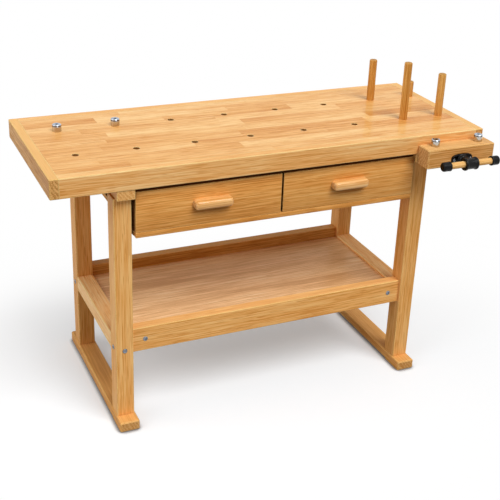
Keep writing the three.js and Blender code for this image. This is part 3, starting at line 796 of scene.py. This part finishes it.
# %% [markdown]
# ## Vise: flange and hub
# A black cast flange on the jaw's front guides the screw. It is an oval plate with two screws and a domed
# boss. In front of it, a cross hub on the screw's end holds the handle: a short sleeve with a bead at
# each end, on a neck. Both could be cut with Booleans, but skins over loops give clean round edges: loops
# of an oval a little fuller than an ellipse for the plate, and a closed ring of loops for the bored
# sleeve.

# %% Cast the flange and hub
screw_low, screw_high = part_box("vise_screw")
screw_axis = (screw_low + screw_high) / 2
jaw_low, jaw_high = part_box("vise_jaw")
flange_low, flange_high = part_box("vise_flange")
hub_low, hub_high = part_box("screw_hub")
bar_low, bar_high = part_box("handle_bar")
hub_plane = (bar_low.y + bar_high.y) / 2
PLATE_THICKNESS = 6 * MM
BOSS_RADIUS = 15 * MM
OVAL_FULLNESS = 0.68
SCREW_RADIUS = (screw_high.x - screw_low.x) / 2
HUB_BEAD = 3 * MM
HUB_RADIUS = (hub_high.z - hub_low.z) / 2 - HUB_BEAD
HUB_BORE = 10.3 * MM
NECK_RADIUS = 13.5 * MM


def fuller(part):
    return math.copysign(abs(part) ** OVAL_FULLNESS, part)


def oval_loop(half_width, half_height, height):
    """An oval that fills its corners more than an ellipse does."""
    circle = round_loop(1.0, 0.0)
    return [Vector((half_width * fuller(spot.x), half_height * fuller(spot.y), height)) for spot in circle]


def flange():
    half_width, half_height = (flange_high.x - flange_low.x) / 2, (flange_high.z - flange_low.z) / 2
    placement = standing((screw_axis.x, jaw_low.y, screw_axis.z), (0, -1, 0))
    rim = [
        (0.0, 0.0),
        (0.0, 4.2 * MM),
        (0.5 * MM, 5.3 * MM),
        (1.6 * MM, 5.9 * MM),
        (3 * MM, PLATE_THICKNESS),
    ]
    shape = bmesh.new()
    loops = [oval_loop(half_width - inset, half_height - inset, rise) for inset, rise in rim]
    skin(shape, loops, placement)
    reach = jaw_low.y - flange_low.y
    dome = [
        (BOSS_RADIUS + 2 * MM, 0.5 * PLATE_THICKNESS),
        (BOSS_RADIUS + 2 * MM, PLATE_THICKNESS + 0.5 * MM),
        (BOSS_RADIUS, PLATE_THICKNESS + 2 * MM),
        (BOSS_RADIUS, reach - 5 * MM),
        (BOSS_RADIUS - 2 * MM, reach - 1.5 * MM),
        (SCREW_RADIUS + 1.5 * MM, reach),
        (SCREW_RADIUS + 0.3 * MM, reach),
    ]
    skin(shape, [round_loop(*point) for point in eased(dome, 1.2 * MM)], placement)
    finish_piece("cast_flange", shape, metals["black casting"], "vise_jaw", ("vise_flange",))


def hub():
    half = (hub_high.x - hub_low.x) / 2
    neck_length = hub_high.y - hub_plane
    bead = HUB_RADIUS + HUB_BEAD
    outside = [
        (HUB_BORE, -half + 1 * MM),
        (HUB_BORE + 1 * MM, -half),
        (bead - 1 * MM, -half),
        (bead, -half + 3 * MM),
        (bead - 0.6 * MM, -half + 6 * MM),
        (HUB_RADIUS, -half + 8.5 * MM),
    ]
    ring_profile = outside + [(radius, -height) for radius, height in reversed(outside)]
    shape = bmesh.new()
    sleeve = standing((screw_axis.x, hub_plane, screw_axis.z), (1, 0, 0))
    skin(shape, [round_loop(*point) for point in eased(ring_profile, 1.2 * MM)], sleeve, closed=True)
    neck = [(NECK_RADIUS, 11.5 * MM), (NECK_RADIUS, neck_length - 2 * MM)]
    neck += [(NECK_RADIUS - 1.5 * MM, neck_length), (SCREW_RADIUS, neck_length)]
    behind = standing((screw_axis.x, hub_plane, screw_axis.z), (0, 1, 0))
    skin(shape, [round_loop(*point) for point in eased(neck, 1 * MM)], behind)
    finish_piece("cast_hub", shape, metals["black casting"], "vise_screw", ("screw_hub",))


flange()
hub()
print("Screw axis at height", round(screw_axis.z / MM), "mm, hub plane at y", round(hub_plane / MM), "mm")

# %% [markdown]
# ## Vise: handle
# The handle is a plain dowel that slides through the hub, with a moulded cap pushed on each end so that
# it can't fall out. A cap is a cup, so its loops start inside at the bottom of the bore, come out over
# the lip and close over the rounded end. It could be a cylinder with a bevel, but that would leave the
# cup solid.

# %% Turn the handle
BAR_CHAMFER = 1 * MM
bar_radius = (bar_high.z - bar_low.z) / 2


def chamfered_bar(radius, length):
    """The profile of a round bar with a small chamfer at each end."""
    inner = radius - BAR_CHAMFER
    return [(inner, 0.0), (radius, BAR_CHAMFER), (radius, length - BAR_CHAMFER), (inner, length)]


def handle():
    profile = chamfered_bar(bar_radius, bar_high.x - bar_low.x)
    start = standing((bar_low.x, hub_plane, screw_axis.z), (1, 0, 0))
    dowel = woods["handle dowel"]
    turned("turned_handle", profile, start, dowel, "vise_handle", ("handle_bar",))


def cap(node, direction):
    low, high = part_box(node)
    radius, length = (high.z - low.z) / 2, high.x - low.x
    mouth = low.x if direction > 0 else high.x
    bore = bar_radius + 0.2 * MM
    profile = [
        (bore, length - 5.5 * MM),
        (bore, 0.0),
        (radius - 0.6 * MM, 0.0),
        (radius, 1 * MM),
        (radius, 4 * MM),
        (radius - 0.7 * MM, 5 * MM),
        (radius - 0.7 * MM, length - 5 * MM),
        (radius - 1.2 * MM, length - 3 * MM),
        (radius - 4.5 * MM, length),
        (2 * MM, length),
    ]
    place = standing((mouth, hub_plane, screw_axis.z), (direction, 0, 0))
    plastic = metals["black cap"]
    turned(f"moulded_{node}", profile, place, plastic, "vise_handle", (node,), 1.4 * MM)


handle()
cap("handle_left_cap", -1)
cap("handle_right_cap", 1)
print("Handle is", round((bar_high.x - bar_low.x) / MM), "mm of dowel")

# %% [markdown]
# ## Vise: thread, rods and nut
# The screw has a square-shouldered thread that advances six millimetres in a turn, and shows when the jaw
# is open. A helix could come from the Screw modifier. Here the loops already give a round bar, so the
# thread is made by letting each point's radius rise and fall with its height and its angle together.

# %% Cut the thread and turn the rods
LEAD = 6 * MM
THREAD_DEPTH = 2 * MM
THREAD_SIDES = 36
STEPS_A_TURN = 10
THREAD_CREST, THREAD_FLANK = 0.35, 0.3
TIP_TAPER, TIP_LENGTH = 0.3, 2 * MM
NUT_RADIUS = 15 * MM
NUT_RIM = (8 * MM, 16 * MM)


def thread_radius(height, turn):
    """Crest, flank, root and flank, one after another along a turn."""
    spot = (height / LEAD - turn / math.tau) % 1.0
    climb = abs(spot - 0.5) * 2
    flank = min(max((climb - THREAD_CREST) / THREAD_FLANK, 0.0), 1.0)
    return SCREW_RADIUS - THREAD_DEPTH * flank


def threaded_screw():
    length = screw_high.y - screw_low.y
    plain = jaw_high.y - screw_low.y
    loops = [round_loop(SCREW_RADIUS - 0.3 * MM, height, THREAD_SIDES) for height in (0.0, plain)]
    turns = [math.tau * number / THREAD_SIDES for number in range(THREAD_SIDES)]
    steps = int((length - plain) / LEAD * STEPS_A_TURN)
    for step in range(1, steps):
        height = plain + step * LEAD / STEPS_A_TURN
        reach = min(1.0, (length - height) / TIP_LENGTH * TIP_TAPER + 1.0 - TIP_TAPER)
        loop = []
        for turn in turns:
            radius = thread_radius(height, turn) * reach
            loop.append(Vector((radius * math.cos(turn), radius * math.sin(turn), height)))
        loops.append(loop)
    shape = bmesh.new()
    skin(shape, loops, standing((screw_axis.x, screw_low.y, screw_axis.z), (0, 1, 0)))
    steel = metals["turned steel"]
    piece = finish_piece("threaded_screw", shape, steel, "vise_screw", ("vise_screw",), crease=28)
    return len(piece.data.polygons)


def rod(node):
    low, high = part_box(node)
    radius, length = (high.z - low.z) / 2, high.y - low.y
    profile = chamfered_bar(radius, length)
    place = standing(((low.x + high.x) / 2, low.y, screw_axis.z), (0, 1, 0))
    turned(f"turned_{node}", profile, place, metals["turned steel"], "vise_jaw", (node,))


def nut():
    low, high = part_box("vise_nut")
    bore, rim_radius = SCREW_RADIUS + 0.3 * MM, (high.x - low.x) / 2
    length = high.y - low.y
    profile = [
        (bore, 0.5 * MM),
        (bore + 0.5 * MM, 0.0),
        (NUT_RADIUS, 0.0),
        (NUT_RADIUS, NUT_RIM[0]),
        (rim_radius, NUT_RIM[0]),
        (rim_radius, NUT_RIM[1]),
        (NUT_RADIUS, NUT_RIM[1]),
        (NUT_RADIUS, length - 1 * MM),
        (NUT_RADIUS - 1 * MM, length),
        (bore + 0.5 * MM, length),
        (bore, length - 0.5 * MM),
    ]
    shape = bmesh.new()
    place = standing((screw_axis.x, low.y, screw_axis.z), (0, 1, 0))
    skin(shape, [round_loop(*point) for point in eased(profile, 0.6 * MM)], place, closed=True)
    finish_piece("turned_nut", shape, metals["turned steel"], "bench", ("vise_nut",))


print("Screw has", threaded_screw(), "faces")
for rod_name in ("left_guide_rod", "right_guide_rod"):
    rod(rod_name)
nut()
clothe(nodes["screw_collar"], metals["turned steel"])

# %% [markdown]
# ## Socket bolts and screws
# The trestle frames are knocked down for carriage, so steel bolts with six-sided sockets hold the rails
# to the legs, and two smaller ones hold the flange. A socket could be cut with a Boolean. Here each head
# is a skin over loops that start round and end six-sided, at the bottom of the socket. The socket itself
# is painted dark as the shade in its depth, so its faces get a second material.

# %% Turn the bolts
SOCKET_SHADE = moulded("socket shadow")
HEAD_PROFILE = ((1.0, 0.0), (1.0, 0.14), (0.93, 0.24), (0.66, 0.3))
SOCKET_PROFILE = ((0.5, 0.28), (0.46, 0.05))
HEAD_EASE = 0.06


def six_sided_loop(flat_radius, height):
    """A loop of as many points as a round one, on a hexagon."""
    points = []
    for number in range(SIDES):
        turn = math.tau * number / SIDES
        radius = flat_radius / math.cos(turn % (math.pi / 3) - math.pi / 6)
        points.append(Vector((radius * math.cos(turn), radius * math.sin(turn), height)))
    return points


def bolt(name, centre, direction, radius, body):
    """A bolt head. The last ring of faces that the skin makes, and its cap, are the socket."""
    profile = [(radius * out, radius * rise) for out, rise in HEAD_PROFILE]
    loops = [round_loop(*point) for point in eased(profile, HEAD_EASE * radius)]
    loops += [six_sided_loop(radius * out, radius * rise) for out, rise in SOCKET_PROFILE]
    shape = bmesh.new()
    skin(shape, loops, standing(centre, direction))
    # Painted shade: the socket's faces take a dark material.
    for face in list(shape.faces)[-1 - SIDES :]:
        face.material_index = 1
    piece = finish_piece(name, shape, metals["bolt steel"], body)
    piece.data.materials.append(SOCKET_SHADE)


BOLT_RADIUS = 7.4 * MM
RAIL_BOLT_FROM_END = 40 * MM
LEG_BOLT_RISE = 16 * MM
OUTER_BOLT_RISE = 20 * MM
rail_low, rail_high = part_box("front_shelf_rail")
back_rail_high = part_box("back_shelf_rail")[1]
rail_middle = (rail_low.z + rail_high.z) / 2

for word, x in (("left", rail_low.x + RAIL_BOLT_FROM_END), ("right", rail_high.x - RAIL_BOLT_FROM_END)):
    bolt(f"front_rail_{word}_bolt", (x, rail_low.y, rail_middle), (0, -1, 0), BOLT_RADIUS, "bench")
    bolt(f"back_rail_{word}_bolt", (x, back_rail_high.y, rail_middle), (0, 1, 0), BOLT_RADIUS, "bench")

for word, outward in (("left", -1), ("right", 1)):
    for end in ("front", "back"):
        low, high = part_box(f"{end}_{word}_leg")
        face_x = low.x if outward < 0 else high.x
        centre = (face_x, (low.y + high.y) / 2, rail_low.z + OUTER_BOLT_RISE)
        bolt(f"{end}_{word}_outer_bolt", centre, (outward, 0, 0), BOLT_RADIUS, "bench")

leg_low, leg_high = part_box("front_left_leg")
leg_centre = ((leg_low.x + leg_high.x) / 2, leg_low.y, rail_low.z + LEG_BOLT_RISE)
bolt("front_left_leg_bolt", leg_centre, (0, -1, 0), BOLT_RADIUS, "bench")

FLANGE_SCREW_REACH = 29 * MM
FLANGE_SCREW_RADIUS = 4.4 * MM
for word, reach in (("left", -FLANGE_SCREW_REACH), ("right", FLANGE_SCREW_REACH)):
    centre = (screw_axis.x + reach, jaw_low.y - PLATE_THICKNESS, screw_axis.z)
    bolt(f"flange_{word}_screw", centre, (0, -1, 0), FLANGE_SCREW_RADIUS, "vise_jaw")
print("Bolts on rails, legs and flange, at heights from", round(leg_centre[2] / MM), "mm")

# %% [markdown]
# ## Floor and world
# The bench stands on white paper. A floor that is simply white would still be grey in the bench's soft
# shadow, so seen directly it mixes its shading with plain white, more of it further out, until the paper
# melts into the white behind. The object's own light doesn't change by this. Close to the feet the paper
# gets a painted contact shadow, where little air is left between it and the wood. Near the bench its tint
# is brighter than white and bluish, painted light that lifts its shade and cancels the warm light that
# the bench throws onto it. The world is white where it is seen and dimmer where it lights.

# %% Floor and world
WHITE = (1.0, 1.0, 1.0)
FLOOR_RADIUS = 30.0
SHADOW_SHARE = 0.74
FAR_WHITE = 0.97
BOUNCE = 0.32
AMBIENT = 0.28
# Brighter than white and bluish: painted light that lifts the paper's shade near the bench and cancels its
# warm bounce.
PAPER_LIFT_TINT = (1.02, 1.062, 1.098)
WHITENS = (0.3, 1.05)
ROOM_SHAPE = (0.75, 1.0, 0.0)
CONTACT_REACH = 20 * MM
CONTACT_SHADOW_GREY = shade(138, 135, 132)


def seen_directly(finish):
    """One where the camera, a mirror or clear glass looks, and nought for light that only fills in."""
    path = finish.node("LightPath").outputs
    mirrored = finish.maths("MAXIMUM", path["Is Glossy Ray"], path["Is Transmission Ray"])
    return finish.maths("MAXIMUM", path["Is Camera Ray"], mirrored)


def paper_floor():
    finish = Finish("white paper")
    seen = seen_directly(finish)
    place = finish.node("TexCoord").outputs["Object"]
    away = finish.node("VectorMath", {0: place, 1: ROOM_SHAPE}, operation="MULTIPLY").outputs["Vector"]
    distance = finish.node("VectorMath", {0: away}, operation="LENGTH").outputs["Value"]
    # Painted contact shadow: the paper darkens where an Ambient Occlusion node finds the feet close by.
    open_air = finish.node("AmbientOcclusion", {"Distance": CONTACT_REACH}, samples=12).outputs["AO"]
    clear = finish.fade(open_air, 0.45, 0.95)
    paper = finish.mix(finish.fade(distance, *WHITENS), PAPER_LIFT_TINT, WHITE)
    paper = finish.mix(clear, CONTACT_SHADOW_GREY, paper)
    colour = finish.mix(seen, (BOUNCE, BOUNCE, BOUNCE), paper)
    shading = finish.node("BsdfDiffuse", {"Color": colour}).outputs["BSDF"]
    glow_colour = finish.mix(clear, CONTACT_SHADOW_GREY, WHITE)
    glow = finish.node("Emission", {"Color": glow_colour, "Strength": 1.0}).outputs["Emission"]
    white = finish.fade(distance, *WHITENS, 1.0 - SHADOW_SHARE, FAR_WHITE)
    share = finish.maths("MULTIPLY", seen, white)
    blend = finish.node("MixShader", {0: share, 1: shading, 2: glow}).outputs["Shader"]
    finish.give(finish.tree.nodes["Material Output"].inputs["Surface"], blend)
    return finish.material


floor_mesh = bpy.data.meshes.new("floor")
floor_shape = bmesh.new()
floor_shape.faces.new([floor_shape.verts.new(point) for point in round_loop(FLOOR_RADIUS, 0.0)])
floor_shape.to_mesh(floor_mesh)
floor_shape.free()
floor = bpy.data.objects.new("floor", floor_mesh)
bpy.context.scene.collection.objects.link(floor)
clothe(floor, paper_floor())


class Sky(Finish):
    """The world's own node graph, written with the same helper."""

    def __init__(self, world):
        world.use_nodes = True
        self.tree = world.node_tree


world = bpy.data.worlds.new("studio")
bpy.context.scene.world = world
sky = Sky(world)
backdrop = world.node_tree.nodes["Background"]
sky.give(backdrop.inputs["Color"], WHITE)
sky.give(backdrop.inputs["Strength"], sky.fade(seen_directly(sky), 0.0, 1.0, AMBIENT, 1.0))
print("Floor of", round(2 * FLOOR_RADIUS), "m under a white world")

# %% [markdown]
# ## Lamps
# Studio light comes from broad softboxes. An area lamp would light the near end of the bench more than
# the far end, so each softbox is a sun with a wide disc instead: one high in front, a little to the
# right, which throws the soft shadow behind the bench, and a weaker one at the left, which fills the
# sides that look left.

# %% Lamps
KEY_LEVEL = 0.56
FILL_LEVEL = 0.17


def broad_sun(name, towards, spread, level):
    """A sun as wide as a softbox. At level 1 it alone shows a level face's colours as they are written."""
    data = bpy.data.lights.new(name, "SUN")
    ray = Vector(towards).normalized()
    data.angle = math.radians(spread)
    data.energy = level * math.pi / -ray.z
    made = bpy.data.objects.new(name, data)
    made.rotation_euler = ray.to_track_quat("-Z", "Y").to_euler()
    bpy.context.scene.collection.objects.link(made)


broad_sun("front softbox", towards=(-0.25, 0.74, -1.1), spread=34.0, level=KEY_LEVEL)
broad_sun("left fill", towards=(1.0, 0.0, -0.5), spread=60.0, level=FILL_LEVEL)

# %% [markdown]
# ## Camera
# The photograph looks along the bench from its left front corner, from about eye height. A camera fitted
# to the corners of the top, the legs and the feet gives its place, its three turns and its lens. The
# picture's middle is a little off the lens's axis, which the shift puts right.

# %% Camera
CAMERA_PLACE = Vector((-1.2086, -2.6252, 1.8233))
CAMERA_TURN = math.radians(25.50)
CAMERA_DIP = math.radians(24.47)
CAMERA_LEAN = math.radians(2.66)
CAMERA_LENS = 71.92
CAMERA_SHIFT = (-0.03, -0.05)
SENSOR_WIDTH = 36.0


def aim(turn, dip, lean):
    """Axes of a camera that looks turned from +Y towards +X, dipped down and leant over."""
    ahead = Vector((math.sin(turn) * math.cos(dip), math.cos(turn) * math.cos(dip), -math.sin(dip)))
    right = Vector((math.cos(turn), -math.sin(turn), 0.0))
    up = right.cross(ahead)
    level_right = math.cos(lean) * right + math.sin(lean) * up
    level_up = math.cos(lean) * up - math.sin(lean) * right
    return Matrix((level_right, level_up, -ahead)).transposed()


camera_data = bpy.data.cameras.new("camera")
camera_data.lens = CAMERA_LENS
camera_data.sensor_width = SENSOR_WIDTH
camera_data.shift_x, camera_data.shift_y = CAMERA_SHIFT
camera = bpy.data.objects.new("camera", camera_data)
looking = aim(CAMERA_TURN, CAMERA_DIP, CAMERA_LEAN).to_4x4()
camera.matrix_world = Matrix.Translation(CAMERA_PLACE) @ looking
bpy.context.scene.collection.objects.link(camera)
bpy.context.scene.camera = camera
bpy.context.scene.view_settings.view_transform = "Standard"
print("Camera at", [round(value, 2) for value in CAMERA_PLACE], "with a", CAMERA_LENS, "mm lens")
